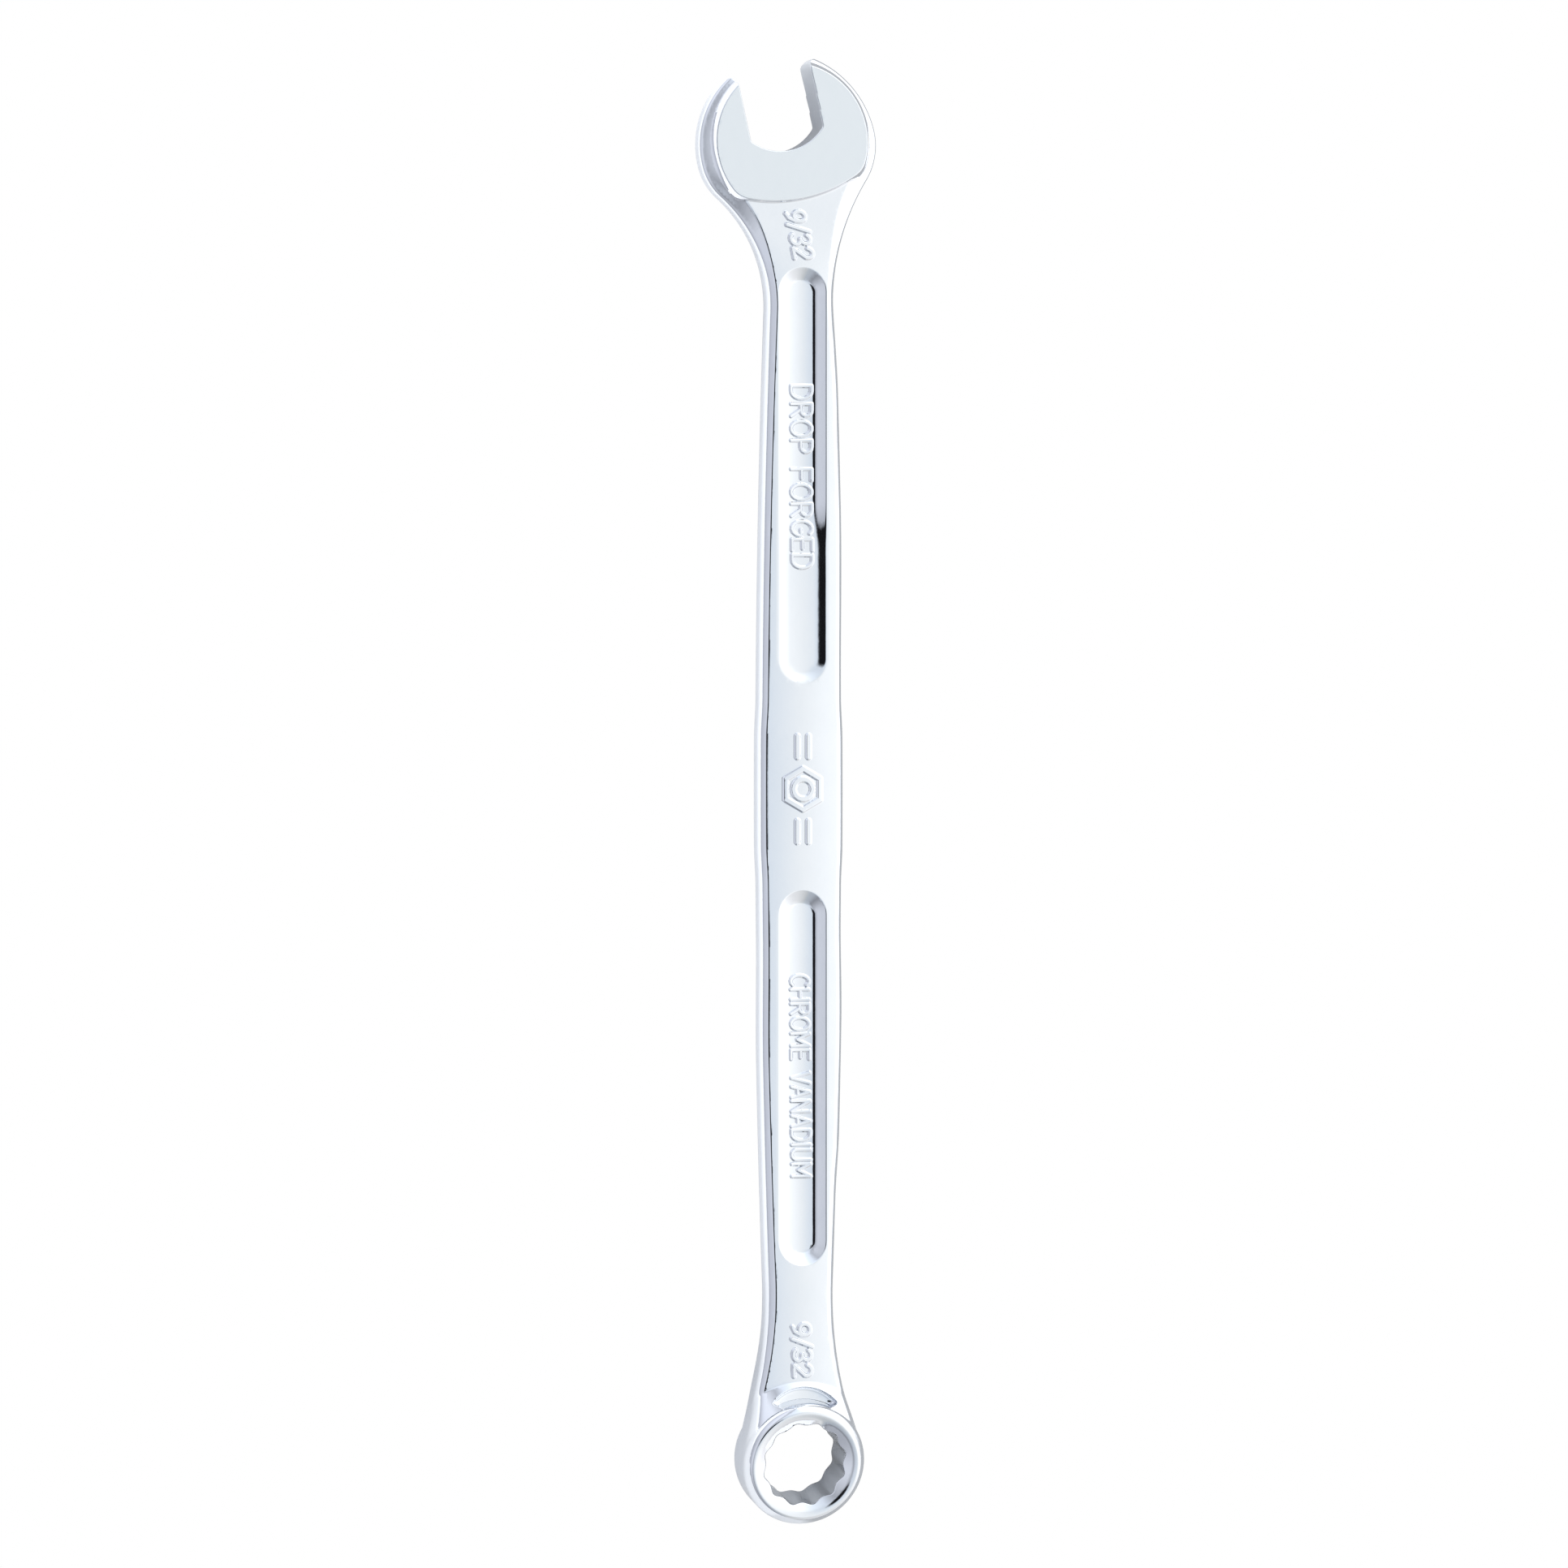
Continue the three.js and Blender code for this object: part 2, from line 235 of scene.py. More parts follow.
# Each glyph is drawn in a box 1 high: (advance width, strokes). P and R share their stem and bowl.
BOWL = [(0.0, 0.0), (0.0, 1.0), (0.28, 1.0)] + curve(0.28, 0.74, 0.26, 0.26, 90, -90, 7) + [(0.0, 0.48)]
GLYPHS = {
    " ": (0.55, []),
    "/": (0.55, [[(0.02, -0.05), (0.40, 1.05)]]),
    "9": (0.74, [curve(0.29, 0.68, 0.27, 0.30, 0, 360, 16),
                 [(0.56, 0.68), (0.54, 0.40), (0.40, 0.12), (0.16, 0.0)]]),
    "3": (0.74, [curve(0.26, 0.74, 0.25, 0.25, 150, -90, 10), curve(0.26, 0.25, 0.29, 0.25, 90, -150, 10)]),
    "2": (0.74, [curve(0.29, 0.70, 0.26, 0.29, 165, -20, 8) + [(0.03, 0.0), (0.58, 0.0)]]),
    "A": (0.80, [[(0.0, 0.0), (0.30, 1.0), (0.60, 0.0)], [(0.11, 0.34), (0.49, 0.34)]]),
    "C": (0.80, [curve(0.34, 0.5, 0.33, 0.5, 50, 310, 12)]),
    "D": (0.82, [[(0.0, 0.0), (0.0, 1.0), (0.22, 1.0)]
                 + curve(0.22, 0.5, 0.36, 0.5, 90, -90, 10) + [(0.0, 0.0)]]),
    "E": (0.72, [[(0.50, 1.0), (0.0, 1.0), (0.0, 0.0), (0.50, 0.0)], [(0.0, 0.52), (0.42, 0.52)]]),
    "F": (0.70, [[(0.50, 1.0), (0.0, 1.0), (0.0, 0.0)], [(0.0, 0.52), (0.42, 0.52)]]),
    "G": (0.84, [curve(0.35, 0.5, 0.34, 0.5, 50, 345, 13) + [(0.68, 0.45), (0.40, 0.45)]]),
    "H": (0.80, [[(0.0, 0.0), (0.0, 1.0)], [(0.56, 0.0), (0.56, 1.0)], [(0.0, 0.52), (0.56, 0.52)]]),
    "I": (0.28, [[(0.0, 0.0), (0.0, 1.0)]]),
    "M": (0.92, [[(0.0, 0.0), (0.0, 1.0), (0.34, 0.35), (0.68, 1.0), (0.68, 0.0)]]),
    "N": (0.82, [[(0.0, 0.0), (0.0, 1.0), (0.58, 0.0), (0.58, 1.0)]]),
    "O": (0.88, [curve(0.34, 0.5, 0.34, 0.5, 0, 360, 18)]),
    "P": (0.76, [BOWL]),
    "R": (0.78, [BOWL, [(0.26, 0.48), (0.56, 0.0)]]),
    "U": (0.80, [[(0.0, 1.0), (0.0, 0.28)] + curve(0.28, 0.28, 0.28, 0.28, 180, 360, 8) + [(0.56, 1.0)]]),
    "V": (0.78, [[(0.0, 1.0), (0.29, 0.0), (0.58, 1.0)]]),
}


def word(text, start, stop, height, base_start, base_stop):
    """Stroke segments of a word that reads from Y = start down to Y = stop, letter tops towards +X."""
    side_gap = 0.22  # the empty part of the last letter's advance
    advance = sum(GLYPHS[c][0] for c in text[:-1]) + GLYPHS[text[-1]][0] - side_gap
    along = (start - stop) / advance
    segments, pen = [], 0.0
    for c in text:
        for stroke in GLYPHS[c][1]:
            points = []
            for u, v in stroke:
                share = (pen + u) / advance
                points.append((mix(base_start, base_stop, share) + v * height, start - (pen + u) * along))
            segments += list(zip(points[:-1], points[1:]))
        pen += GLYPHS[c][0]
    return np.array(segments)


def loop(points):
    """Segments round a closed shape."""
    return list(zip(points, points[1:] + points[:1]))


def nut_mark():
    """A plain hexagon nut between two bars."""
    middle, outer, inner = 0.25, 1.95, 0.95
    hexagon = [(outer * math.sin(math.radians(a)), middle + outer * math.cos(math.radians(a)))
               for a in range(0, 360, 60)]
    bore = [(inner * math.cos(math.radians(a)), middle + inner * math.sin(math.radians(a)))
            for a in range(0, 360, 20)]
    bars = [((x, y), (x, y + 2.0 * end)) for end, y in ((1, 3.3), (-1, -2.8)) for x in (-0.55, 0.55)]
    return np.array(loop(hexagon) + loop(bore) + bars)


# (segments, stroke half width at the top, at the foot, height); a word takes its text, from and to
# along Y, letter height, and the X of the letters' feet at its start and its end
MARKS = [
    (word("9/32", 55.35, 50.95, 1.9, -1.75, -0.85), 0.10, 0.29, 0.14),
    (word("9/32", -50.7, -55.6, 1.75, -1.05, -0.9), 0.10, 0.29, 0.14),
    (word("DROP FORGED", 38.7, 21.3, 2.0, -1.0, -1.0), 0.07, 0.25, 0.13),
    (word("CHROME VANADIUM", -17.5, -36.7, 1.8, -1.05, -0.9), 0.07, 0.25, 0.13),
    (nut_mark(), 0.15, 0.38, 0.12),
]


def marks_height(x, y):
    """Height of the raised marks over the marked face."""
    x, y = np.broadcast_arrays(x, y)
    out = np.zeros(x.shape)
    for segments, top, foot, height in MARKS:
        low, high = segments.min((0, 1)) - foot, segments.max((0, 1)) + foot
        near = (x > low[0]) & (x < high[0]) & (y > low[1]) & (y < high[1])
        if not near.any():
            continue
        px, py = x[near][:, None], y[near][:, None]
        ax, ay = segments[:, 0, 0], segments[:, 0, 1]
        bx, by = segments[:, 1, 0] - ax, segments[:, 1, 1] - ay
        t = np.clip(((px - ax) * bx + (py - ay) * by) / np.maximum(bx * bx + by * by, 1e-9), 0.0, 1.0)
        away = np.hypot(px - ax - t * bx, py - ay - t * by).min(1)
        out[near] = np.maximum(out[near], height * (1.0 - step(top, foot, away)))
    return out


# ---- Faces of the shank -----------------------------------------------------------------------------

def channel_depth(x, y, run, section):
    """Depth of a round-ended channel with sloping walls and a hollow floor."""
    low, high = run
    slope, depth, bow = section
    straight = (high - low) / 2 - CHANNEL_HALF
    past = np.maximum(np.abs(y - (low + high) / 2) - straight, 0.0)
    into = CHANNEL_HALF - np.hypot(x, past)
    floor = depth + bow * (1.0 - (x / CHANNEL_FLOOR_HALF) ** 2)
    return smax(smin(slope * into, floor, 0.08), 0.0 * into, 0.04)


def face_height(x, y, marked):
    """Height of the face over the middle plane of the shank, channels and marks included."""
    head = step(47.0, 54.0, y)
    base = mix(SHANK_TOP - x * x / (2 * CAMBER_RADIUS), HEAD_TOP, head)
    if not marked:
        base = base - BACK_DROP * (1.0 - step(-57.0, -52.0, y))
    shallow = 1.0 - step(23.0, 28.0, y) if marked else 0.0 * y
    section = [mix(deep, flat, shallow) for deep, flat in zip(DEEP_SECTION, SHALLOW_SECTION)]
    base = base - channel_depth(x, y, JAW_CHANNEL, section) - channel_depth(x, y, RING_CHANNEL, DEEP_SECTION)
    if marked:
        base = base + marks_height(x, y)
    return base


# ---- The forging as one distance field: negative inside ------------------------------------------------

def in_jaw(x, y):
    """Places across and along the jaw, from the head's centre."""
    dx, dy = x - HEAD_CENTRE[0], y - HEAD_CENTRE[1]
    c, s = math.cos(JAW_TILT), math.sin(JAW_TILT)
    return dx * c + dy * s, dy * c - dx * s


def jaw_cut(across, along):
    """Negative where the jaw leaves the metal, positive in the opening."""
    a = across - JAW_OFFSET
    half = ACROSS_FLATS / 2
    bite = BITE_DEPTH * sum(
        step(0.0, 0.12, along - start) * np.clip(1 - (along - start) / fade, 0, 1) for start, fade in BITES)
    flats = np.abs(a) - half - np.where(a > 0, bite, 0.0)
    throat = np.hypot(a, np.minimum(along - THROAT_CENTRE, 0.0)) - THROAT_RADIUS
    opening = smax(flats, throat, 0.12)
    return smax(-opening, along - JAW_TIP, TIP_ROUNDING)


def hole_distance(u, v):
    """Signed distance to the 12-point hole: two hexagons, turned 30 degrees from each other."""
    half = ACROSS_FLATS / 2
    hexagons = []
    for turn in (15, 45):
        angles = [math.radians(turn + a) for a in (0, 60, 120)]
        sides = [np.abs(u * math.cos(a) + v * math.sin(a)) - half for a in angles]
        hexagons.append(smax(smax(sides[0], sides[1], 0.35), sides[2], 0.35))
    return smin(hexagons[0], hexagons[1], 0.16)


def box_end(x, y, z):
    """Ring-shaped end: its solid, the radius around its axis and the height along its axis."""
    c, s = math.cos(RING_TILT), math.sin(RING_TILT)
    u, dy, dz = x - RING_CENTRE[0], y - RING_CENTRE[1], z - RING_CENTRE[2]
    v, w = dy * c + dz * s, dz * c - dy * s
    r = np.hypot(u, v)
    h = np.abs(w)
    wall = np.hypot(u - WALL_SHIFT[0], v - WALL_SHIFT[1]) - RIM_RADIUS - WALL_PAD
    bevel = (RIM_BEVEL[0] * (r - RIM_RADIUS) + RIM_BEVEL[1] * (h - RIM_HALF)) / math.hypot(*RIM_BEVEL)
    funnel = (-FUNNEL[0] * (r - FUNNEL_RADIUS) + FUNNEL[1] * (h - RING_HALF)) / math.hypot(*FUNNEL)
    ring = smax(wall, bevel, 0.35)
    ring = smax(ring, h - RING_HALF, 0.20)
    ring = smax(ring, funnel, 0.20)
    return smax(ring, -hole_distance(u, v), 0.08), r, w


def beam(x, y, z, plan):
    """The bar that runs through both ends and the shank: upright band, bevels and the two faces."""
    rise = np.abs(z)
    head = step(47.0, 55.0, y)
    spread = step(47.5, 58.0, y)
    band = mix(BAND_HALF, HEAD_BAND_HALF, head)
    band = np.where(z > 0, band, band + BAND_DEEPENS * step(50.0, 58.0, -y))
    climb, hollow = mix(BEVEL_CLIMB, HEAD_BEVEL_CLIMB, spread), HEAD_BEVEL_HOLLOW * spread
    inset = np.maximum(-plan, -0.5)
    steep = climb + 2.0 * hollow * inset
    bevel = (rise - band - climb * inset - hollow * inset * inset) / np.hypot(1.0, steep)
    body = smax(plan + 0.0 * z, bevel, SIDE_ROUNDING)
    front = z - face_height(x, y, True)
    back = -z - face_height(x, y, False)
    return smax(body, np.maximum(front, back), 0.08)


def with_open_end(body, x, y, z):
    """Adds the raised flat faces of the open end and cuts the jaw."""
    rise = np.abs(z)
    across, along = in_jaw(x, y)
    disc = np.hypot(across, along) - FACE_RADIUS
    heel = np.hypot(across, along - HEEL_CENTRE) - HEEL_RADIUS
    edge = smax(disc, heel, 0.45)
    slope = (edge + FACE_DRAFT * (rise - FACE_TOP)) / math.hypot(1.0, FACE_DRAFT)
    slope = np.maximum(slope, edge - FACE_FOOT)
    body = smin(body, smax(slope, rise - FACE_TOP, 0.07), 0.14)
    return smax(body, jaw_cut(across, along) + 0.0 * z, 0.12)


def with_box_end(body, x, y, z, plan):
    """Stops the beam inside the ring's wall, and adds the collar, its pocket and the ring."""
    ring, r, w = box_end(x, y, z)
    past_middle = -(y - RING_MIDDLE)
    body = np.maximum(body, np.maximum(np.where(w > 0, INSIDE_WALL, INSIDE_WALL_BACK) - r, past_middle))
    cone = COLLAR[0] * (r - RIM_RADIUS) + COLLAR[1] * (w - COLLAR_TOP)
    collar = smax(plan + 0.0 * z, cone, COLLAR_ROUNDING)
    collar = np.maximum(collar, np.maximum(-z - 0.5, np.maximum(INSIDE_WALL - r, past_middle)))
    body = smin(body, collar, 0.08)
    outer = np.hypot(x - RING_CENTRE[0], y - POCKET_OUTER[0]) - POCKET_OUTER[1]
    inner = np.hypot(x - RING_CENTRE[0], y - POCKET_INNER[0]) - POCKET_INNER[1]
    moon = smax(outer, inner, 0.30)
    scoop = POCKET_FLOOR + POCKET_BOW * (x - RING_CENTRE[0]) ** 2
    pocket = smax(moon + 0.0 * z, scoop - z, 0.50)
    body = smax(body, -pocket, 0.12)
    return smin(body, ring, 0.06)


def forging(x, y, z):
    """Signed distance to the whole wrench, about right near its surface."""
    plan = plan_distance(x, y) + END_INSET * step(60.0, 62.8, -y)
    body = beam(x, y, z, plan)
    if np.max(y) > 50.0:
        body = with_open_end(body, x, y, z)
    if np.min(y) < -45.0:
        body = with_box_end(body, x, y, z, plan)
    return body


# ---- Mesh ---------------------------------------------------------------------------------------------

def ladder(*parts):
    """Grid lines: (from, to, pitch) spans that follow each other."""
    lines = []
    for low, high, pitch in parts:
        count = max(1, round((high - low) / pitch))
        lines.append(np.linspace(low, high, count, endpoint=False))
    lines.append(np.array([parts[-1][1]]))
    return np.concatenate(lines)


def sample(xs, ys, zs):
    """The field at every crossing of the grid lines, a few rows at a time."""
    field = np.empty((len(xs), len(ys), len(zs)), np.float32)
    rows = 24
    for j in range(0, len(ys), rows):
        field[:, j:j + rows, :] = forging(xs[:, None, None], ys[None, j:j + rows, None], zs[None, None, :])
    return field


def surface(xs, ys, zs):
    """A quad mesh of the field's zero surface: one vertex in each cell that it crosses."""
    field = sample(xs, ys, zs)
    lines = (xs, ys, zs)
    cells = tuple(n - 1 for n in field.shape)
    total = np.zeros(np.prod(cells))
    sums = [np.zeros(np.prod(cells)) for _ in range(3)]
    faces = []
    for axis in range(3):
        low = [slice(None)] * 3
        high = [slice(None)] * 3
        low[axis], high[axis] = slice(0, -1), slice(1, None)
        f0, f1 = field[tuple(low)], field[tuple(high)]
        where = np.nonzero((f0 < 0) != (f1 < 0))
        v0, v1 = f0[where].astype(float), f1[where].astype(float)
        t = v0 / (v0 - v1)
        point = [lines[a][where[a]].astype(float) for a in range(3)]
        point[axis] = point[axis] + t * (lines[axis][where[axis] + 1] - lines[axis][where[axis]])
        b, c = (axis + 1) % 3, (axis + 2) % 3
        around = []
        for ob, oc in ((0, 0), (-1, 0), (-1, -1), (0, -1)):
            index = [where[0], where[1], where[2]]
            index[b] = index[b] + ob
            index[c] = index[c] + oc
            flat = np.ravel_multi_index(index, cells)
            around.append(flat)
            total += np.bincount(flat, minlength=len(total))
            for a in range(3):
                sums[a] += np.bincount(flat, weights=point[a], minlength=len(total))
        quads = np.stack(around, 1)
        outward = v0 < 0
        faces.append(np.where(outward[:, None], quads, quads[:, ::-1]))
    used = np.nonzero(total)[0]
    number = np.full(len(total), -1)
    number[used] = np.arange(len(used))
    points = np.stack([s[used] / total[used] for s in sums], 1)
    return points, number[np.concatenate(faces)]


def slope_at(p, h=0.008):
    """Field value and gradient at each point, the points handled in order of Y in small groups."""
    order = np.argsort(p[:, 1])
    value, gradient = np.empty(len(p)), np.empty((len(p), 3))
    for k in range(0, len(p), 6000):
        part = order[k:k + 6000]
        q = p[part]
        value[part] = forging(q[:, 0], q[:, 1], q[:, 2])
        for a in range(3):
            shift = np.zeros(3)
            shift[a] = h
            up, down = q + shift, q - shift
            gradient[part, a] = (forging(up[:, 0], up[:, 1], up[:, 2])
                                 - forging(down[:, 0], down[:, 1], down[:, 2])) / (2 * h)
    return value, gradient


def settle(p, rounds, limit=0.12):
    """Moves points onto the surface, by at most limit in each round."""
    for _ in range(rounds):
        value, gradient = slope_at(p)
        move = value[:, None] * gradient / np.maximum((gradient ** 2).sum(1), 0.05)[:, None]
        size = np.linalg.norm(move, axis=1)
        move *= np.minimum(1.0, limit / np.maximum(size, 1e-9))[:, None]
        p = p - move
    return p


def relax(p, quads, share):
    """Evens out the vertices along the surface."""
    total, count = np.zeros_like(p), np.zeros(len(p))
    for a, b in ((0, 1), (1, 2), (2, 3), (3, 0)):
        for s, t in ((quads[:, a], quads[:, b]), (quads[:, b], quads[:, a])):
            for k in range(3):
                total[:, k] += np.bincount(s, weights=p[t, k], minlength=len(p))
            count += np.bincount(s, minlength=len(p))
    _, gradient = slope_at(p)
    normal = gradient / np.maximum(np.linalg.norm(gradient, axis=1), 1e-9)[:, None]
    move = (total / count[:, None] - p) * share
    return p + move - (move * normal).sum(1)[:, None] * normal


def halves(quads, p):
    """Each quad as two triangles, cut along its shorter diagonal."""
    first = np.linalg.norm(p[quads[:, 0]] - p[quads[:, 2]], axis=1)
    second = np.linalg.norm(p[quads[:, 1]] - p[quads[:, 3]], axis=1)
    flip = first > second
    q = np.where(flip[:, None], np.roll(quads, -1, axis=1), quads)
    return np.concatenate((q[:, [0, 1, 2]], q[:, [0, 2, 3]]))


def refine(p, normals, tris, turn, shortest, gap, clear=0.0):
    """Splits the edges across which the surface turns, and puts the new vertices on the surface.

    Edges within clear of the middle line are left alone.
    """
    pairs = np.sort(np.concatenate((tris[:, [0, 1]], tris[:, [1, 2]], tris[:, [2, 0]])), axis=1)
    key, edge_of = np.unique(pairs[:, 0] * len(p) + pairs[:, 1], return_inverse=True)
    ends = np.stack((key // len(p), key % len(p)), 1)
    edge_of = edge_of.reshape(3, -1).T
    middle = (p[ends[:, 0]] + p[ends[:, 1]]) / 2
    length = np.linalg.norm(p[ends[:, 0]] - p[ends[:, 1]], axis=1)
    bend = (normals[ends[:, 0]] * normals[ends[:, 1]]).sum(1) < math.cos(math.radians(turn))
    wide = (length > shortest) & (np.abs(middle[:, 0]) >= clear)
    test = np.nonzero(wide & ~bend)[0]
    off = np.zeros(len(ends), bool)
    off[test] = np.abs(field_at(middle[test])) > gap
    cut = np.nonzero(wide & (bend | off))[0]
    number = np.full(len(ends), -1)
    number[cut] = len(p) + np.arange(len(cut))
    fresh = settle(middle[cut], 3)
    _, gradient = slope_at(fresh)
    p = np.concatenate((p, fresh))
    normals = np.concatenate((normals, gradient / np.linalg.norm(gradient, axis=1)[:, None]))

    mark = number[edge_of]
    count = (mark >= 0).sum(1)
    out = [tris[count == 0]]
    # turned so that the cut edges come first
    for want, shift in ((1, 0), (1, 1), (1, 2), (2, 0), (2, 1), (2, 2)):
        t, m = np.roll(tris, -shift, axis=1), np.roll(mark, -shift, axis=1)
        pick = (count == want) & (m[:, 0] >= 0) & ((m[:, 1] >= 0) if want == 2 else True)
        t, m = t[pick], m[pick]
        if want == 1:
            out += [np.stack((t[:, 0], m[:, 0], t[:, 2]), 1), np.stack((m[:, 0], t[:, 1], t[:, 2]), 1)]
            continue
        out.append(np.stack((m[:, 0], t[:, 1], m[:, 1]), 1))
        rest = np.stack((t[:, 0], m[:, 0], m[:, 1], t[:, 2]), 1)
        out.append(halves(rest, p))
    t, m = tris[count == 3], mark[count == 3]
    out += [np.stack((t[:, 0], m[:, 0], m[:, 2]), 1), np.stack((m[:, 0], t[:, 1], m[:, 1]), 1),
            np.stack((m[:, 2], m[:, 1], t[:, 2]), 1), m]
    return p, normals, np.concatenate(out)


def field_at(p):
    """Field value at each point, the points handled in order of Y in small groups."""
    order = np.argsort(p[:, 1])
    value = np.empty(len(p))
    for k in range(0, len(p), 6000):
        part = order[k:k + 6000]
        value[part] = forging(p[part, 0], p[part, 1], p[part, 2])
    return value


# finest over the raised marks
xs = ladder((-11.0, -5.0, 0.32), (-5.0, -1.7, 0.27), (-1.7, 1.7, 0.17), (1.7, 5.0, 0.27),
            (5.0, 9.0, 0.32))
ys = ladder((-70.6, -56.0, 0.28), (-56.0, -50.2, 0.19), (-50.2, -37.0, 0.45), (-37.0, -17.2, 0.19),
            (-17.2, -6.0, 0.45), (-6.0, 6.5, 0.24), (6.5, 21.0, 0.45), (21.0, 39.0, 0.19),
            (39.0, 50.6, 0.45), (50.6, 55.8, 0.19), (55.8, 71.0, 0.28))
zs = ladder((-4.3, 4.3, 0.28))
rounds = 3

points, quads = surface(xs, ys, zs)
points = settle(points, 3)
points = settle(relax(points, quads, 0.5), 3)
_, gradient = slope_at(points)
normals = gradient / np.linalg.norm(gradient, axis=1)[:, None]
triangles = halves(quads, points)
for _ in range(rounds):
    points, normals, triangles = refine(points, normals, triangles, turn=12.0, shortest=0.065, gap=0.01)
points, normals, triangles = refine(points, normals, triangles, turn=7.0, shortest=0.04, gap=0.006,
                                    clear=2.1)
print("wrench mesh:", len(points), "vertices,", len(triangles), "triangles")

# The forging's frame in the CAD's frame, from the box-end region: its ring is centred on RING_CENTRE
box_low, box_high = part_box("box_end_head")
shank_low, shank_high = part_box("shank")
origin = np.array([
    (box_low.x + box_high.x) / 2 * 1000 - RING_CENTRE[0],
    shank_low.y * 1000 - BOX_END_PLANE,
    (shank_low.z + shank_high.z) / 2 * 1000,
])

mesh = bpy.data.meshes.new("wrench_forging")
mesh.vertices.add(len(points))
mesh.vertices.foreach_set("co", ((points + origin) / 1000).ravel())
mesh.loops.add(len(triangles) * 3)
mesh.loops.foreach_set("vertex_index", triangles.ravel())
mesh.polygons.add(len(triangles))
mesh.polygons.foreach_set("loop_start", np.arange(0, len(triangles) * 3, 3))
mesh.polygons.foreach_set("use_smooth", np.ones(len(triangles), bool))
mesh.update(calc_edges=True)
mesh.validate()

on_face = (np.abs(points[:, 2]) > FACE_TOP - 0.02) & (points[:, 1] > 52)
ground = mesh.attributes.new("ground", "FLOAT", "POINT")
ground.data.foreach_set("value", on_face.astype(np.float32))
mesh.normals_split_custom_set_from_vertices(normals)

wrench = bpy.data.objects.new("wrench_forging", mesh)
bpy.context.scene.collection.objects.link(wrench)
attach(wrench, "root")
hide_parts("open_end_head", "shank", "box_end_head")


# ---- Materials ------------------------------------------------------------------------------------------

def node(tree, kind, **values):
    made = tree.nodes.new(kind)
    for name, value in values.items():
        setattr(made, name, value)
    return made


def noise(tree, vector, scale, detail):
    """A noise texture's value."""
    made = node(tree, "ShaderNodeTexNoise")
    made.inputs["Scale"].default_value = scale
    made.inputs["Detail"].default_value = detail
    tree.links.new(vector, made.inputs["Vector"])
    return made.outputs["Fac"]


def map_range(tree, source, span, result=(0.0, 1.0), shape="LINEAR"):
    """Takes the source's span to the result's span, and holds both ends."""
    made = node(tree, "ShaderNodeMapRange", interpolation_type=shape)
    for name, value in zip(("From Min", "From Max", "To Min", "To Max"), (*span, *result)):
        made.inputs[name].default_value = value
    tree.links.new(source, made.inputs["Value"])
    return made.outputs["Result"]


def ramp(tree, source, stops):
    """A colour ramp with the given (position, colour) stops."""
    made = node(tree, "ShaderNodeValToRGB")
    tree.links.new(source, made.inputs["Fac"])
    elements = made.color_ramp.elements
    while len(elements) < len(stops):
        elements.new(0.5)
    for element, (position, colour) in zip(elements, stops):
        element.position = position
        element.color = (*colour, 1)
    return made.outputs["Color"]


def grey_ramp(tree, source, stops):
    return ramp(tree, source, [(position, (value, value, value)) for position, value in stops])


def product(tree, first, second):
    """The two values multiplied."""
    made = node(tree, "ShaderNodeMath", operation="MULTIPLY")
    tree.links.new(first, made.inputs[0])
    tree.links.new(second, made.inputs[1])
    return made.outputs["Value"]


def chrome():
    material = bpy.data.materials.new("chrome_steel")
    material.use_nodes = True
    tree = material.node_tree
    link = tree.links.new
    shader = tree.nodes["Principled BSDF"]
    shader.inputs["Metallic"].default_value = 1.0
    place = node(tree, "ShaderNodeTexCoord").outputs["Object"]

    # colour: a faint variation in the plate, and a shade greyer on the ground faces
    haze = noise(tree, place, 260.0, 4.0)
    tint = node(tree, "ShaderNodeMix", data_type="RGBA")
    tint.inputs["A"].default_value = (0.72, 0.745, 0.785, 1)
    tint.inputs["B"].default_value = (0.77, 0.785, 0.815, 1)
    link(haze, tint.inputs["Factor"])
    ground_face = node(tree, "ShaderNodeAttribute", attribute_name="ground").outputs["Fac"]
    shade = node(tree, "ShaderNodeMix", data_type="RGBA")
    shade.inputs["B"].default_value = (0.69, 0.72, 0.75, 1)
    link(ground_face, shade.inputs["Factor"])
    link(tint.outputs["Result"], shade.inputs["A"])
    link(shade.outputs["Result"], shader.inputs["Base Color"])

    # roughness: polished chrome with a faint haze, and a satin grain on the ground faces
    polished = map_range(tree, haze, (0.3, 0.7), (0.035, 0.085))
    stretch = node(tree, "ShaderNodeMapping")
    stretch.inputs["Scale"].default_value = (300.0, 6000.0, 300.0)
    stretch.inputs["Rotation"].default_value = (0.0, 0.0, 0.9)
    link(place, stretch.inputs["Vector"])
    grain = noise(tree, stretch.outputs["Vector"], 1.0, 3.0)
    satin = map_range(tree, grain, (0.0, 1.0), (0.16, 0.26))
    rough = node(tree, "ShaderNodeMix", data_type="FLOAT")
    link(ground_face, rough.inputs["Factor"])
    link(polished, rough.inputs["A"])
    link(satin, rough.inputs["B"])
    link(rough.outputs["Result"], shader.inputs["Roughness"])

    # the plate follows the slightly uneven forging under it
    swell = node(tree, "ShaderNodeBump")
    swell.inputs["Strength"].default_value = 1.0
    swell.inputs["Distance"].default_value = 0.000008
    link(noise(tree, place, 900.0, 3.0), swell.inputs["Height"])
    lines = node(tree, "ShaderNodeBump")
    lines.inputs["Distance"].default_value = 0.000002
    link(ground_face, lines.inputs["Strength"])
    link(grain, lines.inputs["Height"])
    link(swell.outputs["Normal"], lines.inputs["Normal"])
    link(lines.outputs["Normal"], shader.inputs["Normal"])
    return material


wrench.data.materials.append(chrome())


# ---- Floor, light and camera ------------------------------------------------------------------------------

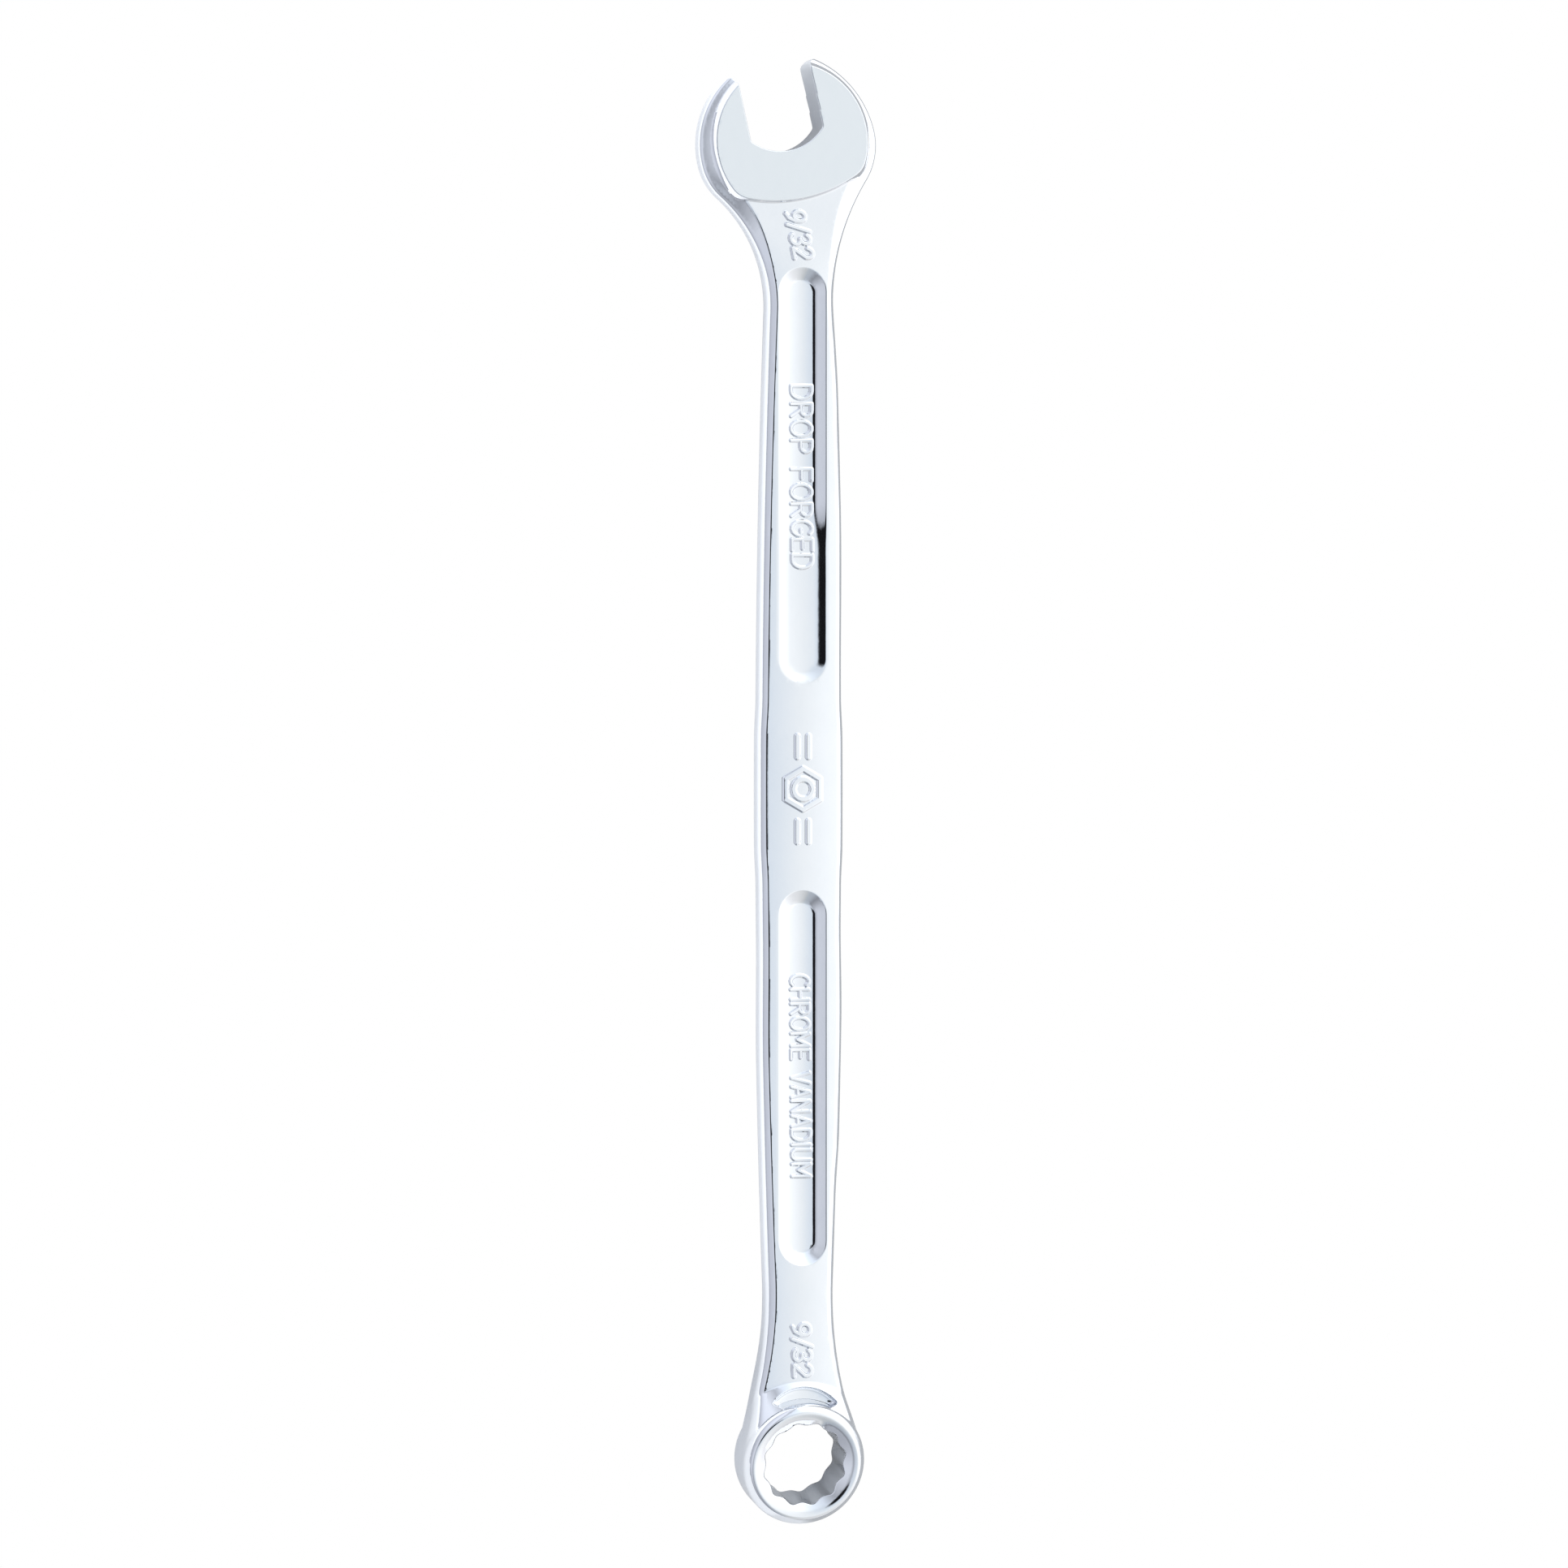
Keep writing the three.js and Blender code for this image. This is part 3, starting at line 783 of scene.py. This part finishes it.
def floor_white():
    """Burnt out to white where it is seen directly; in the reflections, a sheet with painted shadow that
    glows with painted bounce light.
    """
    material = bpy.data.materials.new("floor_white")
    material.use_nodes = True
    tree = material.node_tree
    link = tree.links.new
    shader = tree.nodes["Principled BSDF"]
    shader.inputs["Roughness"].default_value = 0.9
    shader.inputs["Emission Color"].default_value = (1.0, 1.0, 1.0, 1)
    parts = node(tree, "ShaderNodeSeparateXYZ")
    link(node(tree, "ShaderNodeTexCoord").outputs["Object"], parts.inputs["Vector"])
    across = map_range(tree, parts.outputs["X"], (-0.01, 0.04))
    # painted shadow: in the reflections the sheet is darker under the object and just beside it on the +X
    # side
    sheet = grey_ramp(tree, across, [(0.26, 0.80), (0.30, 0.47), (0.62, 0.47), (0.80, 0.80)])
    link(sheet, shader.inputs["Base Color"])
    # painted bounce light: the floor glows on the -X side of the object and further out on the +X side,
    # weaker near the ring
    painted_bounce_light = grey_ramp(tree, across, [(0.136, 0.40), (0.165, 0.0), (0.60, 0.0), (0.88, 0.75)])
    along = map_range(tree, parts.outputs["Y"], (-0.056, -0.042), (0.45, 1.0), "SMOOTHSTEP")
    link(product(tree, painted_bounce_light, along), shader.inputs["Emission Strength"])
    glow = node(tree, "ShaderNodeEmission")
    seen = node(tree, "ShaderNodeMixShader")
    link(node(tree, "ShaderNodeLightPath").outputs["Is Camera Ray"], seen.inputs["Fac"])
    link(shader.outputs["BSDF"], seen.inputs[1])
    link(glow.outputs["Emission"], seen.inputs[2])
    link(seen.outputs["Shader"], tree.nodes["Material Output"].inputs["Surface"])
    return material


def floor():
    half = 2.0
    sheet = bpy.data.meshes.new("floor")
    corners = [(-half, -half, 0), (half, -half, 0), (half, half, 0), (-half, half, 0)]
    sheet.from_pydata(corners, [], [(0, 1, 2, 3)])
    sheet.materials.append(floor_white())
    piece = bpy.data.objects.new("floor", sheet)
    bpy.context.scene.collection.objects.link(piece)


# The studio's colour by the angle across the room: -90 and 90 are level with the floor, 0 is overhead
ROOM = [
    (-90, (0.66, 0.68, 0.74)),
    (-86, (0.50, 0.52, 0.59)),
    (-78, (0.66, 0.68, 0.76)),
    (-60, (0.80, 0.83, 0.92)),
    (-46, (0.84, 0.87, 0.95)),
    (-28, (0.47, 0.49, 0.54)),
    (-14, (0.80, 0.86, 0.95)),
    (2, (0.90, 0.97, 1.04)),
    (15, (1.10, 1.13, 1.14)),
    (30, (1.30, 1.32, 1.32)),
    (50, (1.50, 1.50, 1.50)),
    (72, (1.45, 1.45, 1.45)),
    (90, (1.30, 1.28, 1.30)),
]


def studio():
    """A soft studio: bright on the +X side, greyer on the -X side, darker around the camera."""
    world = bpy.data.worlds.new("studio")
    bpy.context.scene.world = world
    world.use_nodes = True
    tree = world.node_tree
    link = tree.links.new
    place = node(tree, "ShaderNodeTexCoord").outputs["Generated"]
    parts = node(tree, "ShaderNodeSeparateXYZ")
    link(place, parts.inputs["Vector"])
    angle = node(tree, "ShaderNodeMath", operation="ARCTAN2")
    link(parts.outputs["X"], angle.inputs[0])
    link(parts.outputs["Z"], angle.inputs[1])
    share = map_range(tree, angle.outputs[0], (-math.pi / 2, math.pi / 2))
    walls = ramp(tree, share, [((degrees + 90) / 180, colour) for degrees, colour in ROOM])
    # greyer towards the -Y end of the room, brighter towards the +Y end
    end = map_range(tree, parts.outputs["Y"], (-0.90, -0.25), (0.62, 1.0), "SMOOTHSTEP")
    top = map_range(tree, parts.outputs["Y"], (0.25, 0.75), (1.0, 1.3), "SMOOTHSTEP")
    room = node(tree, "ShaderNodeVectorMath", operation="SCALE")
    link(walls, room.inputs[0])
    link(product(tree, end, top), room.inputs["Scale"])
    # dark patch around the camera
    offset = node(tree, "ShaderNodeVectorMath", operation="SUBTRACT")
    offset.inputs[1].default_value = Vector((-math.sin(VIEW_TILT), 0.0, math.cos(VIEW_TILT)))
    link(place, offset.inputs[0])
    squash = node(tree, "ShaderNodeVectorMath", operation="MULTIPLY")
    squash.inputs[1].default_value = (1.0, 0.95, 1.0)
    link(offset.outputs["Vector"], squash.inputs[0])
    reach = node(tree, "ShaderNodeVectorMath", operation="LENGTH")
    link(squash.outputs["Vector"], reach.inputs[0])
    blend = node(tree, "ShaderNodeMix", data_type="RGBA")
    blend.inputs["A"].default_value = (0.01, 0.01, 0.012, 1)
    link(map_range(tree, reach.outputs["Value"], (0.16, 0.29), shape="SMOOTHSTEP"), blend.inputs["Factor"])
    link(room.outputs["Vector"], blend.inputs["B"])
    background = tree.nodes["Background"]
    link(blend.outputs["Result"], background.inputs["Color"])
    background.inputs["Strength"].default_value = 1.0


def camera():
    back = Vector((-math.sin(VIEW_TILT), 0.0, math.cos(VIEW_TILT)))
    right = Vector((math.cos(VIEW_TILT), 0.0, math.sin(VIEW_TILT)))
    up = Vector((0.0, 1.0, 0.0))
    lens, sensor, span = 250.0, 36.0, 149.69  # span: mm of the object across the picture
    aim = (Vector(origin) - 1.356 * right + 0.736 * up) / 1000
    data = bpy.data.cameras.new("camera")
    data.lens = lens
    data.sensor_width = sensor
    data.clip_start = 0.05
    data.clip_end = 50.0
    piece = bpy.data.objects.new("camera", data)
    turn = Matrix((right, up, back)).transposed().to_4x4()
    piece.matrix_world = Matrix.Translation(aim + back * (span / 1000 * lens / sensor)) @ turn
    bpy.context.scene.collection.objects.link(piece)
    bpy.context.scene.camera = piece


def softbox():
    data = bpy.data.lights.new("softbox", "AREA")
    data.shape = "RECTANGLE"
    data.size, data.size_y = 0.9, 1.2
    data.energy = 7.0
    piece = bpy.data.objects.new("softbox", data)
    piece.visible_glossy = False
    piece.location = (0.9, 0.1, 0.9)
    piece.rotation_euler = (-Vector(piece.location)).to_track_quat("-Z", "Y").to_euler()
    bpy.context.scene.collection.objects.link(piece)


floor()
studio()
softbox()
camera()
bpy.context.scene.view_settings.view_transform = "Standard"
